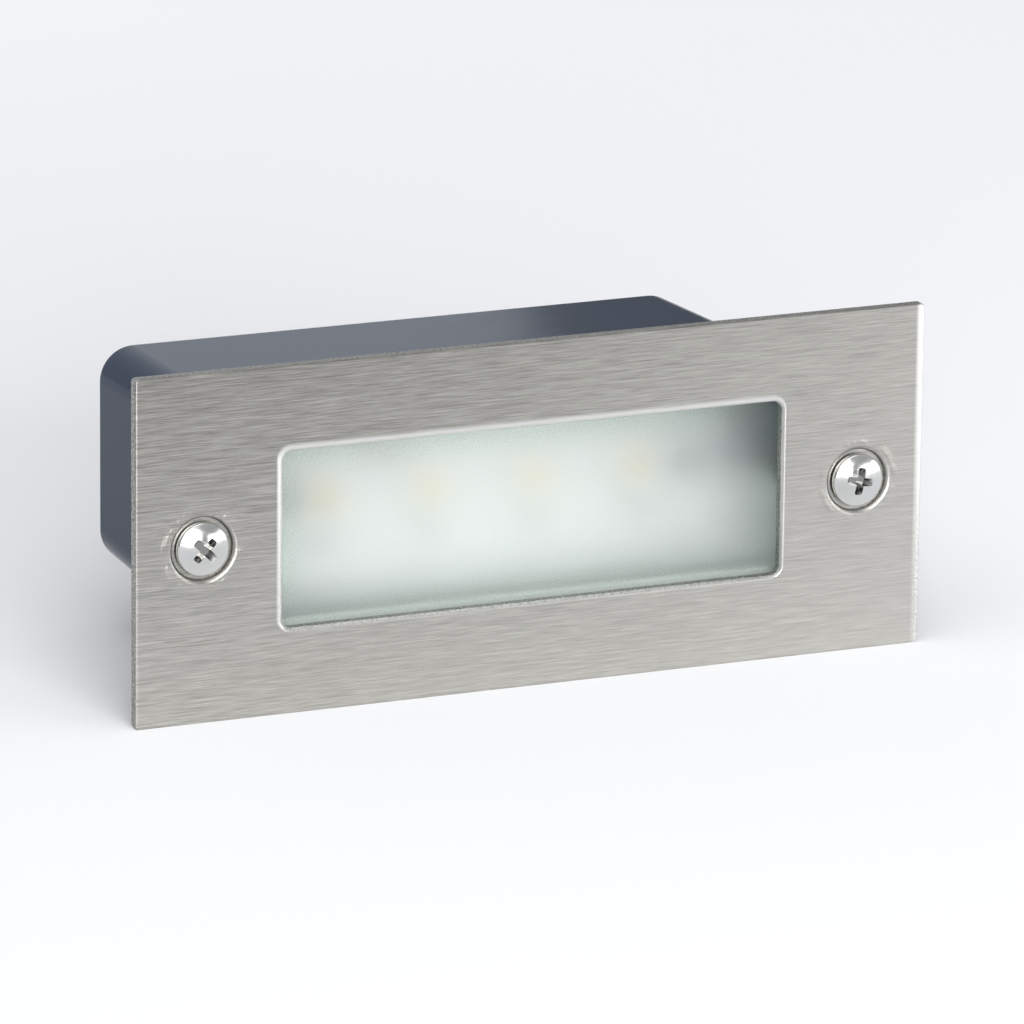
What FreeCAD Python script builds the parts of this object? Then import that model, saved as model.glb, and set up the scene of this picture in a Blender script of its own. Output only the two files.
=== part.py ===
import FreeCAD, Part
import math
import os

# A recessed step light: a brushed steel faceplate with a glass window, screwed to a deep
# plastic back box that is built into a wall beside a step.
#
# X runs to the right along the plate, Z runs up, and Y runs into the wall. The wall's surface
# is the plane Y = 0, which the rear of the box's flange seats on, and the origin is the middle
# of the box there. All lengths are in millimetres and all angles are in degrees.

V = FreeCAD.Vector
INTO_WALL = V(0, 1, 0)
UP = V(0, 0, 1)

# Window in the faceplate, and the glass glued behind it
window_width = 76.0
window_height = 25.4
window_corner_radius = 1.3
window_edge_radius = 0.6
glass_thickness = 4.0
glass_overlap_x = 3.5
glass_overlap_z = 1.0
glass_corner_radius = 3.0
glass_rear_chamfer = 0.3
bead_width = 0.9
bead_height = 2.6
bead_clearance_x = 2.3
bead_clearance_z = 0.6

# Back box, round the glass
box_draft = 1.57
box_corner_radius = 5.0
box_rear_edge_radius = 0.8
box_wall = 2.0
box_rear_wall = 2.2
boss_offset = 3.3
boss_radius = 4.0
boss_length = 9.0
boss_end_wall = 1.3
insert_radius = 3.0
insert_length = 6.0
insert_inset = 0.3
insert_fit = 0.02
insert_groove_width = 0.75
insert_groove_depth = 0.3
insert_groove_places = (1.8, 3.6)
flange_margin_x = 2.0
flange_margin_z = 3.6
flange_thickness = 2.0
flange_corner_radius = 3.0

# Faceplate and its gaskets
plate_overhang_x = 4.0
plate_overhang_z = 4.2
plate_thickness = 1.5
plate_corner_radius = 0.6
plate_edge_radius = 0.2
face_gasket_thickness = 0.5
face_gasket_inset = 0.6
wall_gasket_width = 1.2
wall_gasket_gap = 0.6
wall_gasket_corner_radius = 3.5

# Screw pockets sunk in the plate, and the M4 screws that hold it
pocket_radius = 4.45
pocket_depth = 0.9
pocket_lip_radius = 0.7
screw_hole_clearance = 0.3
thread_radius = 1.95
thread_pitch = 0.7
thread_depth = 0.35
thread_clearance = 0.05
screw_length = 10.0
head_radius = 3.8
head_edge_height = 0.7
head_edge_radius = 0.3
head_crown_height = 0.9
recess_length = 4.3
recess_width = 1.15
recess_depth = 1.5
recess_end_rounding = 0.45
left_recess_turn = 45.0
right_recess_turn = 10.0
washer_radius = 3.4
washer_thickness = 0.4

# Lamp tray behind the glass: a white channel with half-height ends
pad_thickness = 0.8
tray_clearance = 0.4
tray_end_clearance = 1.6
tray_rim_thickness = 1.5
tray_wall = 1.5
tray_floor = 1.5
tray_opening_inset = 0.1
tray_depth = 17.3
tray_draft = 2.0
tray_tab_top = -1.0
driver_bay_depth = 25.0

# Lamp board and its four lamps
board_end_gap = 7.5
board_gap_z = 2.4
board_thickness = 1.6
board_corner_radius = 1.0
lamp_count = 4
lamp_end_gap = 7.0
lamp_size = 5.0
lamp_height = 1.5
lamp_cup_radius = 2.0
lamp_cup_depth = 0.6
lamp_cup_fit = 0.03
lamp_corner_radius = 0.3
phosphor_drop = 0.1
chip_resistor_length = 3.2
chip_resistor_width = 1.6
chip_resistor_height = 0.6
chip_resistor_z = -6.5

# Pillars in the box that the tray is screwed to, and small screws for plastic
pillar_end_distance = 4.5
pillar_radius = 3.5
tray_screw_length = 8.0
board_screw_end_distance = 4.0
board_screw_length = 6.0
board_boss_radius = 2.6
board_boss_length = 4.0
tapping_screw_radius = 1.3
tapping_screw_fit = 0.02
tapping_screw_clearance = 0.25
tapping_head_radius = 2.4
tapping_head_height = 1.5
tapping_recess_length = 2.6
tapping_recess_width = 0.7
tapping_recess_depth = 0.8
tapping_recess_turn = 25.0
blind_hole_spare = 0.3
tapping_crown_radius = 1.3
tapping_crown_height = 0.7
tapping_tip_radius = 0.4
tapping_tip_length = 1.6

# Driver board, which lies flat on two feet near the floor of the box. Places on it are
# measured in X and Y from its front left corner.
driver_left = -26.0
driver_width = 30.0
driver_front_gap = 2.0
driver_length = 19.5
driver_height = 3.7
driver_thickness = 1.6
driver_screw_places = ((2.8, 3.0), (26.5, 16.5))
driver_screw_length = 5.0
standoff_radius = 2.5

# Parts on the driver board: place, then size
capacitor_place = (5.5, 14.4)
capacitor_radius = 5.0
capacitor_height = 16.0
capacitor_bead_radius = 0.5
capacitor_bead_height = 2.2
capacitor_rim_radius = 0.5
capacitor_score_length = 6.5
capacitor_score_width = 0.3
capacitor_score_depth = 0.2
choke_place = (15.5, 14.9)
choke_radius = 4.0
choke_height = 9.0
choke_flange_height = 1.2
choke_core_radius = 1.8
choke_winding_radius = 3.5
winding_fit = 0.05
film_capacitor_place = (24.5, 10.6)
film_capacitor_size = (9.0, 4.5, 9.0)
film_capacitor_corner = 0.6
fuse_place = (24.5, 6.3)
fuse_radius = 1.25
fuse_length = 6.5
fuse_end_radius = 0.5
fuse_lead_radius = 0.35
fuse_lead_reach = 1.2
chip_place = (16.0, 7.4)
chip_size = (5.0, 3.9, 1.5)
chip_leg_count = 4
chip_leg_pitch = 1.27
chip_leg_size = (0.4, 1.0, 0.5)
chip_leg_root = 0.2
chip_standoff = 0.1
bridge_place = (8.4, 6.7)
bridge_size = (6.5, 4.8, 2.4)
bridge_chamfer = 0.4

# Terminal block and the cable's way in
terminal_left_way = 13.0
terminal_pitch = 8.0
terminal_ways = 2
terminal_front_gap = 5.9
terminal_foot_height = 5.3
terminal_foot_inset = 1.0
terminal_length = 9.0
terminal_side = 4.8
clamp_radius = 2.4
clamp_bore_radius = 1.5
clamp_fit = 0.03
clamp_end_inset = 0.6
clamp_screw_radius = 1.2
clamp_well_radius = 1.6
clamp_screw_length = 3.4
clamp_screw_gap = 0.1
clamp_slot_width = 0.4
clamp_slot_depth = 0.6
terminal_screw_bite = 2.8
terminal_foot = 1.5
terminal_roof = 2.5
cable_x = 17.0
cable_height = 13.2
cable_hole_radius = 3.6
grommet_neck_radius = 5.6
grommet_flange_radius = 7.6
grommet_flange_thickness = 1.6
grommet_fit = 0.02
grommet_edge_chamfer = 0.4
saddle_gap = 1.1
saddle_width = 4.8
saddle_thickness = 1.4
saddle_cable_gap = 0.2
saddle_ear_length = 5.2
saddle_screw_length = 5.0

# Leads
lead_radius = 0.8
lead_bend = 1.8
lead_hole_clearance = 0.15
lamp_lead_places = ((9.5, 3.1), (12.5, 3.1))
lamp_lead_z = 6.0
supply_lead_places = ((26.0, 2.1), (22.0, 2.1))
neutral_lead_rise = 4.5
lead_solder_height = 0.8

# Smallest radius left on an inner corner, and how near two depths are taken as one
least_corner_radius = 0.5
same_depth = 0.001

# Planes and half sizes that follow from the dimensions above
glass_half_x = window_width / 2 + glass_overlap_x
glass_half_z = window_height / 2 + glass_overlap_z
box_mouth_half_x = glass_half_x + bead_width + bead_clearance_x + box_wall
box_mouth_half_z = glass_half_z + bead_width + bead_clearance_z + box_wall
screw_x = box_mouth_half_x + boss_offset
flange_half_x = screw_x + boss_radius + flange_margin_x
flange_half_z = box_mouth_half_z + flange_margin_z
plate_half_x = flange_half_x + plate_overhang_x
plate_half_z = flange_half_z + plate_overhang_z
plate_back = -(flange_thickness + face_gasket_thickness)
plate_front = plate_back - plate_thickness
pocket_floor = plate_front + pocket_depth
insert_front = -flange_thickness + insert_inset
head_seat = pocket_floor - washer_thickness
screw_tip = head_seat + screw_length
glass_back = plate_back + glass_thickness
tray_rim_front = glass_back + pad_thickness
tray_rim_back = tray_rim_front + tray_rim_thickness
tray_mouth_half_z = window_height / 2 - tray_opening_inset
tray_floor_front = tray_rim_front + tray_depth
tray_back = tray_floor_front + tray_floor
board_front = tray_floor_front - board_thickness
box_inner_back = tray_back + driver_bay_depth
box_depth = box_inner_back + box_rear_wall
box_floor = box_wall - box_mouth_half_z
driver_right = driver_left + driver_width
driver_front = tray_back + driver_front_gap
driver_back = driver_front + driver_length
driver_underside = box_floor + driver_height
driver_top = driver_underside + driver_thickness
screw_places = (-screw_x, screw_x)
terminal_places = [terminal_left_way + way * terminal_pitch for way in range(terminal_ways)]
terminal_front = tray_back + terminal_front_gap
terminal_back = terminal_front + terminal_length
terminal_middle_x = sum(terminal_places) / terminal_ways
terminal_middle_y = (terminal_front + terminal_back) / 2
terminal_underside = box_floor + terminal_foot_height
terminal_axis_z = terminal_underside + terminal_foot + clamp_radius
terminal_top = terminal_axis_z + clamp_radius + terminal_roof
cable_z = box_floor + cable_height
saddle_back = box_inner_back - grommet_flange_thickness - saddle_gap
saddle_front = saddle_back - saddle_width
saddle_middle_y = (saddle_front + saddle_back) / 2


def rounded_outline(half_x, half_z, radius, y):
    """A closed outline square to Y: a rectangle whose corners are arcs."""
    corners = ((1, 1), (-1, 1), (-1, -1), (1, -1))
    stretches = []
    for quarter, (side_x, side_z) in enumerate(corners):
        centre_x = side_x * (half_x - radius)
        centre_z = side_z * (half_z - radius)
        points = []
        for part_turn in (0, 45, 90):
            angle = math.radians(90 * quarter + part_turn)
            point_x = centre_x + radius * math.cos(angle)
            point_z = centre_z + radius * math.sin(angle)
            points.append(V(point_x, y, point_z))
        stretches.append(points)
    edges = []
    for index, points in enumerate(stretches):
        following = stretches[(index + 1) % len(stretches)]
        edges.append(Part.Arc(*points).toShape())
        edges.append(Part.makeLine(points[2], following[0]))
    return Part.Wire(edges)


def slab(half_x, half_z, radius, y_front, y_back):
    """A flat plate with rounded corners, between two depths."""
    face = Part.Face(rounded_outline(half_x, half_z, radius, y_front))
    return face.extrude(V(0, y_back - y_front, 0))


def tapered_slab(front, back):
    """A block that narrows from one rounded outline to another."""
    return Part.makeLoft([rounded_outline(*front), rounded_outline(*back)], True, True)


def rod(radius, x, z, y_front, y_back):
    """A round bar along Y."""
    return Part.makeCylinder(radius, y_back - y_front, V(x, y_front, z), INTO_WALL)


def stud(radius, x, y, z_low, z_high):
    """A round bar along Z."""
    return Part.makeCylinder(radius, z_high - z_low, V(x, y, z_low), UP)


def block(x_low, x_high, y_low, y_high, z_low, z_high):
    """A plain block between two corners."""
    size = V(x_high - x_low, y_high - y_low, z_high - z_low)
    return Part.makeBox(size.x, size.y, size.z, V(x_low, y_low, z_low))


def turned(profile, base, axis):
    """A solid turned about an axis. The profile is (radius, distance along the axis)."""
    across = V(1, 0, 0)
    points = [base + across * radius + axis * along for radius, along in profile]
    face = Part.Face(Part.makePolygon(points + points[:1]))
    return face.revolve(base, axis, 360)


def edges_at_depth(shape, y, half_x, half_z):
    """The edges of a shape that lie at one depth and inside a window of the given half sizes."""
    found = []
    for edge in shape.Edges:
        extent = edge.BoundBox
        flat = abs(extent.YMin - y) < same_depth and abs(extent.YMax - y) < same_depth
        inside = abs(extent.Center.x) < half_x and abs(extent.Center.z) < half_z
        if flat and inside:
            found.append(edge)
    return found


def box_half_x(y):
    return box_mouth_half_x - y * math.tan(math.radians(box_draft))


def box_half_z(y):
    return box_mouth_half_z - y * math.tan(math.radians(box_draft))


def box_outline_at(y, inset):
    """The box's outline at a depth, drawn in by a wall's thickness."""
    radius = max(box_corner_radius - inset, least_corner_radius)
    return (box_half_x(y) - inset, box_half_z(y) - inset, radius, y)


def foot_start_z(y):
    """A height inside the thickness of the box's lower wall, where feet on it start."""
    return -(box_half_z(y) - box_wall / 2)


def on_driver_board(place):
    """Where a place on the driver board lies in X and Y."""
    return driver_left + place[0], driver_front + place[1]


def driver_screw_spots():
    return [on_driver_board(place) for place in driver_screw_places]


def lamp_lead_spots():
    return [on_driver_board(place) for place in lamp_lead_places]


def supply_lead_spots():
    return [on_driver_board(place) for place in supply_lead_places]


def cross_recess(length, width, depth, turn):
    """The cutter for a cross recess, with its mouth at the origin and its depth along +Z."""
    cutter = None
    for quarter in (0, 90):
        wing = Part.makeBox(length, width, 2 * depth, V(-length / 2, -width / 2, -depth))
        ends = [edge for edge in wing.Edges if edge.BoundBox.ZLength > depth]
        wing = wing.makeFillet(recess_end_rounding * width, ends)
        slope = Part.makeCone(length / 2, width, depth, V(0, 0, 0), UP)
        mouth = Part.makeCylinder(length / 2, depth, V(0, 0, -depth), UP)
        wing = wing.common(slope.fuse(mouth))
        wing.rotate(V(0, 0, 0), UP, turn + quarter)
        cutter = wing if cutter is None else cutter.fuse(wing)
    return cutter


def tapping_screw(length):
    """A small screw for plastic. Its head sits on the origin's plane and its shank runs +Z."""
    profile = [
        (0, -tapping_head_height),
        (tapping_crown_radius, -tapping_head_height),
        (tapping_head_radius, tapping_crown_height - tapping_head_height),
        (tapping_head_radius, 0),
        (tapping_screw_radius, 0),
        (tapping_screw_radius, length - tapping_tip_length),
        (tapping_tip_radius, length),
        (0, length),
    ]
    screw = turned(profile, V(0, 0, 0), UP)
    recess = cross_recess(tapping_recess_length, tapping_recess_width, tapping_recess_depth,
                          tapping_recess_turn)
    recess.translate(V(0, 0, -tapping_head_height))
    return screw.cut(recess)


def screw_into_wall(screw, x, y, z):
    """Turn a screw drawn along +Z to run into the wall from a place on its seat."""
    screw.rotate(V(0, 0, 0), V(1, 0, 0), -90)
    screw.translate(V(x, y, z))
    return screw


def screw_downwards(screw, x, y, z):
    """Turn a screw drawn along +Z to run down from a place on its seat."""
    screw.rotate(V(0, 0, 0), V(1, 0, 0), 180)
    screw.translate(V(x, y, z))
    return screw


def lead(points):
    """An insulated wire: straight runs joined by tangent arcs."""
    corners = [V(*point) for point in points]
    edges = []
    start = corners[0]
    for index in range(1, len(corners) - 1):
        corner = corners[index]
        towards_start = (corners[index - 1] - corner).normalize()
        towards_end = (corners[index + 1] - corner).normalize()
        half_angle = towards_start.getAngle(towards_end) / 2
        reach = lead_bend / math.tan(half_angle)
        middle = (towards_start + towards_end).normalize()
        arc_start = corner + towards_start * reach
        arc_end = corner + towards_end * reach
        arc_middle = corner + middle * (lead_bend / math.sin(half_angle) - lead_bend)
        edges.append(Part.makeLine(start, arc_start))
        edges.append(Part.Arc(arc_start, arc_middle, arc_end).toShape())
        start = arc_end
    edges.append(Part.makeLine(start, corners[-1]))
    direction = (corners[1] - corners[0]).normalize()
    section = Part.Wire(Part.makeCircle(lead_radius, corners[0], direction))
    return Part.Wire(edges).makePipeShell([section], True, False)


def export(name, *solids):
    shape = solids[0] if len(solids) == 1 else Part.makeCompound(list(solids))
    shape.exportStep("parts/" + name + ".step")


# ---- Back box ------------------------------------------------------------------------------

def back_box():
    """The box in the wall: shell, flange, screw bosses, pillars, and feet for what it holds."""
    box = tapered_slab(box_outline_at(-flange_thickness, 0), box_outline_at(box_depth, 0))
    rear_edges = edges_at_depth(box, box_depth, 2 * box_mouth_half_x, 2 * box_mouth_half_z)
    box = box.makeFillet(box_rear_edge_radius, rear_edges)
    flange = slab(flange_half_x, flange_half_z, flange_corner_radius, -flange_thickness, 0)
    box = box.fuse(flange)
    for x in screw_places:
        box = box.fuse(rod(boss_radius, x, 0, -flange_thickness, boss_length))
    mouth = box_outline_at(-flange_thickness, box_wall)
    rear = box_outline_at(box_inner_back, box_wall)
    box = box.cut(tapered_slab(mouth, rear))
    for x in pillar_places():
        box = box.fuse(rod(pillar_radius, x, 0, tray_back, box_inner_back))
        box = box.cut(rod(tapping_screw_radius + tapping_screw_fit, x, 0,
                          tray_back, tray_floor_front + tray_screw_length + blind_hole_spare))
    for x, y in driver_screw_spots():
        box = box.fuse(stud(standoff_radius, x, y, foot_start_z(y), driver_underside))
        hole_bottom = driver_top - driver_screw_length - blind_hole_spare
        box = box.cut(stud(tapping_screw_radius + tapping_screw_fit, x, y,
                           hole_bottom, driver_underside))
    box = box.fuse(terminal_foot_block())
    box = box.cut(terminal_screw_hole())
    box = box.fuse(saddle_pedestal())
    for x in saddle_screw_places():
        hole_bottom = saddle_seat_z() + saddle_thickness - saddle_screw_length
        hole_bottom -= blind_hole_spare
        box = box.cut(stud(tapping_screw_radius + tapping_screw_fit, x, saddle_middle_y,
                           hole_bottom, saddle_seat_z()))
    for x in screw_places:
        box = box.cut(rod(insert_radius + insert_fit, x, 0,
                          -flange_thickness, boss_length - boss_end_wall))
    box = box.cut(rod(grommet_neck_radius + grommet_fit, cable_x, cable_z,
                      box_inner_back, box_depth))
    return box.removeSplitter()


def threaded_insert(x):
    """A brass insert moulded into a boss, with two grip grooves round it."""
    back = insert_front + insert_length
    insert = rod(insert_radius, x, 0, insert_front, back)
    for place in insert_groove_places:
        groove_front = insert_front + place
        groove_back = groove_front + insert_groove_width
        ring = rod(insert_radius, x, 0, groove_front, groove_back)
        root = rod(insert_radius - insert_groove_depth, x, 0, groove_front, groove_back)
        insert = insert.cut(ring.cut(root))
    return insert.cut(rod(thread_radius + thread_clearance, x, 0, insert_front, back))


# ---- Front: plate, gaskets and glass -------------------------------------------------------

def faceplate():
    """The steel plate, with a rounded window edge and two sunk screw pockets."""
    plate = slab(plate_half_x, plate_half_z, plate_corner_radius, plate_front, plate_back)
    rim = edges_at_depth(plate, plate_front, 2 * plate_half_x, 2 * plate_half_z)
    plate = plate.makeFillet(plate_edge_radius, rim)
    window = slab(window_width / 2, window_height / 2, window_corner_radius,
                  plate_front, plate_back)
    plate = plate.cut(window)
    lip = edges_at_depth(plate, plate_front, window_width / 2 + same_depth,
                         window_height / 2 + same_depth)
    plate = plate.makeFillet(window_edge_radius, lip)
    for x in screw_places:
        plate = plate.cut(screw_pocket(x))
    return plate


def screw_pocket(x):
    """What a screw pocket takes out of the plate: a rounded mouth, a seat and a hole."""
    mouth_radius = pocket_radius + pocket_lip_radius
    corner = pocket_lip_radius * (1 - math.sqrt(0.5))
    base = V(x, plate_front, 0)
    across = V(1, 0, 0)
    lip = Part.Arc(
        base + across * mouth_radius,
        base + across * (pocket_radius + corner) + INTO_WALL * corner,
        base + across * pocket_radius + INTO_WALL * pocket_lip_radius,
    ).toShape()
    seat_corner = base + across * pocket_radius + INTO_WALL * pocket_depth
    edges = [
        lip,
        Part.makeLine(base + across * pocket_radius + INTO_WALL * pocket_lip_radius, seat_corner),
        Part.makeLine(seat_corner, base + INTO_WALL * pocket_depth),
        Part.makeLine(base + INTO_WALL * pocket_depth, base),
        Part.makeLine(base, base + across * mouth_radius),
    ]
    pocket = Part.Face(Part.Wire(edges)).revolve(base, INTO_WALL, 360)
    hole = rod(thread_radius + screw_hole_clearance, x, 0, pocket_floor, plate_back)
    return pocket.fuse(hole)


def face_gasket():
    """Thin silicone between the plate and the box's flange."""
    outer = slab(flange_half_x - face_gasket_inset, flange_half_z - face_gasket_inset,
                 flange_corner_radius, plate_back, -flange_thickness)
    half_x, half_z, radius, depth = box_outline_at(-flange_thickness, box_wall)
    gasket = outer.cut(slab(half_x, half_z, radius, plate_back, depth))
    for x in screw_places:
        gasket = gasket.cut(rod(insert_radius, x, 0, plate_back, -flange_thickness))
    return gasket


def wall_gasket():
    """A foam strip round the flange, squeezed between the plate and the wall."""
    inner_x = flange_half_x + wall_gasket_gap
    inner_z = flange_half_z + wall_gasket_gap
    radius = wall_gasket_corner_radius
    outer = slab(inner_x + wall_gasket_width, inner_z + wall_gasket_width,
                 radius + wall_gasket_width, plate_back, 0)
    return outer.cut(slab(inner_x, inner_z, radius, plate_back, 0))


def window_glass():
    glass = slab(glass_half_x, glass_half_z, glass_corner_radius, plate_back, glass_back)
    rear_edges = edges_at_depth(glass, glass_back, 2 * glass_half_x, 2 * glass_half_z)
    return glass.makeChamfer(glass_rear_chamfer, rear_edges)


def glass_bead():
    """The silicone that glues the glass's edge to the plate."""
    outer = slab(glass_half_x + bead_width, glass_half_z + bead_width,
                 glass_corner_radius + bead_width, plate_back, plate_back + bead_height)
    inner = slab(glass_half_x, glass_half_z, glass_corner_radius,
                 plate_back, plate_back + bead_height)
    return outer.cut(inner)


# ---- Screws through the plate --------------------------------------------------------------

def screw_washer(x):
    """A sealing ring under a screw's head."""
    ring = rod(washer_radius, x, 0, head_seat, pocket_floor)
    return ring.cut(rod(thread_radius + thread_clearance, x, 0, head_seat, pocket_floor))


def face_screw(x, recess_turn):
    """A raised-head machine screw: a domed, polished head and a shank with thread grooves."""
    root = thread_radius - thread_depth
    neck = plate_back
    turns = int((screw_tip - neck) / thread_pitch) - 1
    base = V(x, 0, 0)
    across = V(1, 0, 0)
    outline = [(0, screw_tip), (root, screw_tip)]
    for index in range(turns):
        crest = screw_tip - (index + 0.5) * thread_pitch
        outline.append((thread_radius, crest))
        outline.append((root, crest - thread_pitch / 2))
    outline.append((root, neck))
    outline.append((thread_radius, neck - thread_depth))
    outline.append((thread_radius, head_seat))
    outline.append((head_radius, head_seat))
    rim = head_seat - head_edge_height
    crown = rim - head_crown_height
    outline.append((head_radius, rim))
    points = [base + across * radius + INTO_WALL * along for radius, along in outline]
    edges = [Part.makeLine(points[i], points[i + 1]) for i in range(len(points) - 1)]
    dome_radius = (head_radius ** 2 + head_crown_height ** 2) / (2 * head_crown_height)
    half_way = 0.5 * head_radius
    drop = dome_radius - math.sqrt(dome_radius ** 2 - half_way ** 2)
    top = base + INTO_WALL * crown
    shoulder = base + across * half_way + INTO_WALL * (crown + drop)
    edges.append(Part.Arc(points[-1], shoulder, top).toShape())
    edges.append(Part.makeLine(top, points[0]))
    screw = Part.Face(Part.Wire(edges)).revolve(base, INTO_WALL, 360)
    edge = edges_at_depth(screw, rim, abs(x) + head_radius, head_radius)
    screw = screw.makeFillet(head_edge_radius, edge)
    recess = cross_recess(recess_length, recess_width, recess_depth, recess_turn)
    return screw.cut(screw_into_wall(recess, x, crown, 0))


# ---- Lamp tray, lamp board and lamps -------------------------------------------------------

def tray_half_length():
    """Half the channel's length, which leaves room for the box's rounded inner corners."""
    return box_half_x(tray_back) - box_wall - tray_end_clearance


def tray_half_z(y):
    lean = (y - tray_rim_front) * math.tan(math.radians(tray_draft))
    return tray_mouth_half_z - lean


def tray_rim_half_z():
    return box_half_z(tray_rim_back) - box_wall - tray_clearance


def pillar_places():
    reach = tray_half_length() - pillar_end_distance
    return -reach, reach


def board_half_length():
    return tray_half_length() - board_end_gap


def board_half_z():
    return tray_half_z(board_front) - board_gap_z


def board_screw_places():
    reach = board_half_length() - board_screw_end_distance
    return -reach, reach


def lamp_tray():
    """The white channel that holds the lamp board and throws its light forward."""
    rim_z = tray_rim_half_z()
    upper = [
        (tray_floor_front, tray_half_z(tray_floor_front)),
        (tray_rim_front, tray_half_z(tray_rim_front)),
        (tray_rim_front, rim_z),
        (tray_rim_back, rim_z),
        (tray_rim_back, tray_half_z(tray_rim_back) + tray_wall),
        (tray_back, tray_half_z(tray_back) + tray_wall),
    ]
    lower = [(y, -z) for y, z in reversed(upper)]
    end = tray_half_length()
    points = [V(-end, y, z) for y, z in upper + lower]
    tray = Part.Face(Part.makePolygon(points + points[:1])).extrude(V(2 * end, 0, 0))
    for x in (-end, end - tray_wall):
        tab = block(x, x + tray_wall, tray_rim_front, tray_floor_front,
                    -tray_mouth_half_z, tray_tab_top)
        tray = tray.fuse(tab)
    for x in board_screw_places():
        tray = tray.fuse(rod(board_boss_radius, x, 0, tray_back, tray_back + board_boss_length))
        tip = board_front + board_screw_length + blind_hole_spare
        tray = tray.cut(rod(tapping_screw_radius + tapping_screw_fit, x, 0,
                            tray_floor_front, tip))
    for x in pillar_places():
        tray = tray.cut(rod(tapping_screw_radius + tapping_screw_clearance, x, 0,
                            tray_floor_front, tray_back))
    return tray.cut(lamp_lead_holes(tray_floor_front, tray_back)).removeSplitter()


def lamp_lead_holes(y_front, y_back):
    radius = lead_radius + lead_hole_clearance
    left, right = [rod(radius, x, lamp_lead_z, y_front, y_back) for x, y in lamp_lead_spots()]
    return left.fuse(right)


def rim_pad(side):
    """A soft white strip between one rim of the tray and the glass."""
    near = side * tray_mouth_half_z
    far = side * tray_rim_half_z()
    end = tray_half_length()
    return block(-end, end, glass_back, tray_rim_front, min(near, far), max(near, far))


def tray_screw(x):
    screw = tapping_screw(tray_screw_length)
    return screw_into_wall(screw, x, tray_floor_front, 0)


def lamp_board():
    board = slab(board_half_length(), board_half_z(), board_corner_radius,
                 board_front, tray_floor_front)
    for x in board_screw_places():
        board = board.cut(rod(tapping_screw_radius + tapping_screw_clearance, x, 0,
                              board_front, tray_floor_front))
    return board.cut(lamp_lead_holes(board_front, tray_floor_front))


def lamp_places():
    first = board_screw_places()[0] + lamp_end_gap
    step = -2 * first / (lamp_count - 1)
    return [first + index * step for index in range(lamp_count)]


def lamp_body(x):
    """A square white lamp package with a round cup in its face."""
    half = lamp_size / 2
    front = board_front - lamp_height
    body = slab(half, half, lamp_corner_radius, front, board_front)
    body = body.cut(rod(lamp_cup_radius, 0, 0, front, front + lamp_cup_depth))
    body.translate(V(x, 0, 0))
    return body


def lamp_phosphor(x):
    """The yellow phosphor that fills a lamp's cup."""
    front = board_front - lamp_height
    return rod(lamp_cup_radius - lamp_cup_fit, x, 0, front + phosphor_drop,
               front + lamp_cup_depth)


def chip_resistor(x):
    front = board_front - chip_resistor_height
    half = chip_resistor_length / 2
    return block(x - half, x + half, front, board_front,
                 chip_resistor_z - chip_resistor_width / 2,
                 chip_resistor_z + chip_resistor_width / 2)


def lamp_board_screw(x):
    screw = tapping_screw(board_screw_length)
    return screw_into_wall(screw, x, board_front, 0)


# ---- Driver --------------------------------------------------------------------------------

def driver_board():
    board = block(driver_left, driver_right, driver_front, driver_back,
                  driver_underside, driver_top)
    for x, y in driver_screw_spots():
        board = board.cut(stud(tapping_screw_radius + tapping_screw_clearance, x, y,
                               driver_underside, driver_top))
    for x, y in lamp_lead_spots() + supply_lead_spots():
        board = board.cut(stud(lead_radius + lead_hole_clearance, x, y,
                               driver_underside, driver_top))
    return board


def driver_screw(x, y):
    return screw_downwards(tapping_screw(driver_screw_length), x, y, driver_top)


def smoothing_capacitor():
    """An electrolytic can with the groove near its foot and a pressed cross on its top."""
    x, y = on_driver_board(capacitor_place)
    top = driver_top + capacitor_height
    can = stud(capacitor_radius, x, y, driver_top, top)
    rim = [e for e in can.Edges if abs(e.BoundBox.ZMin - top) < same_depth]
    can = can.makeFillet(capacitor_rim_radius, rim)
    groove = Part.makeTorus(capacitor_radius, capacitor_bead_radius,
                            V(x, y, driver_top + capacitor_bead_height), UP)
    can = can.cut(groove)
    for turn in (45, 135):
        score = Part.makeBox(capacitor_score_length, capacitor_score_width,
                             2 * capacitor_score_depth,
                             V(-capacitor_score_length / 2, -capacitor_score_width / 2,
                               -capacitor_score_depth))
        score.rotate(V(0, 0, 0), UP, turn)
        score.translate(V(x, y, top))
        can = can.cut(score)
    return can


def choke_core():
    """A ferrite drum: two flanges on a waist."""
    x, y = on_driver_board(choke_place)
    top = driver_top + choke_height
    profile = [
        (0, 0),
        (choke_radius, 0),
        (choke_radius, choke_flange_height),
        (choke_core_radius, choke_flange_height),
        (choke_core_radius, choke_height - choke_flange_height),
        (choke_radius, choke_height - choke_flange_height),
        (choke_radius, top - driver_top),
        (0, choke_height),
    ]
    return turned(profile, V(x, y, driver_top), UP)


def choke_winding():
    x, y = on_driver_board(choke_place)
    low = driver_top + choke_flange_height
    high = driver_top + choke_height - choke_flange_height
    winding = stud(choke_winding_radius, x, y, low, high)
    return winding.cut(stud(choke_core_radius + winding_fit, x, y, low, high))


def film_capacitor():
    x, y = on_driver_board(film_capacitor_place)
    length, width, height = film_capacitor_size
    body = block(x - length / 2, x + length / 2, y - width / 2, y + width / 2,
                 driver_top, driver_top + height)
    upright = [e for e in body.Edges if e.BoundBox.ZLength > height / 2]
    return body.makeFillet(film_capacitor_corner, upright)


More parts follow.
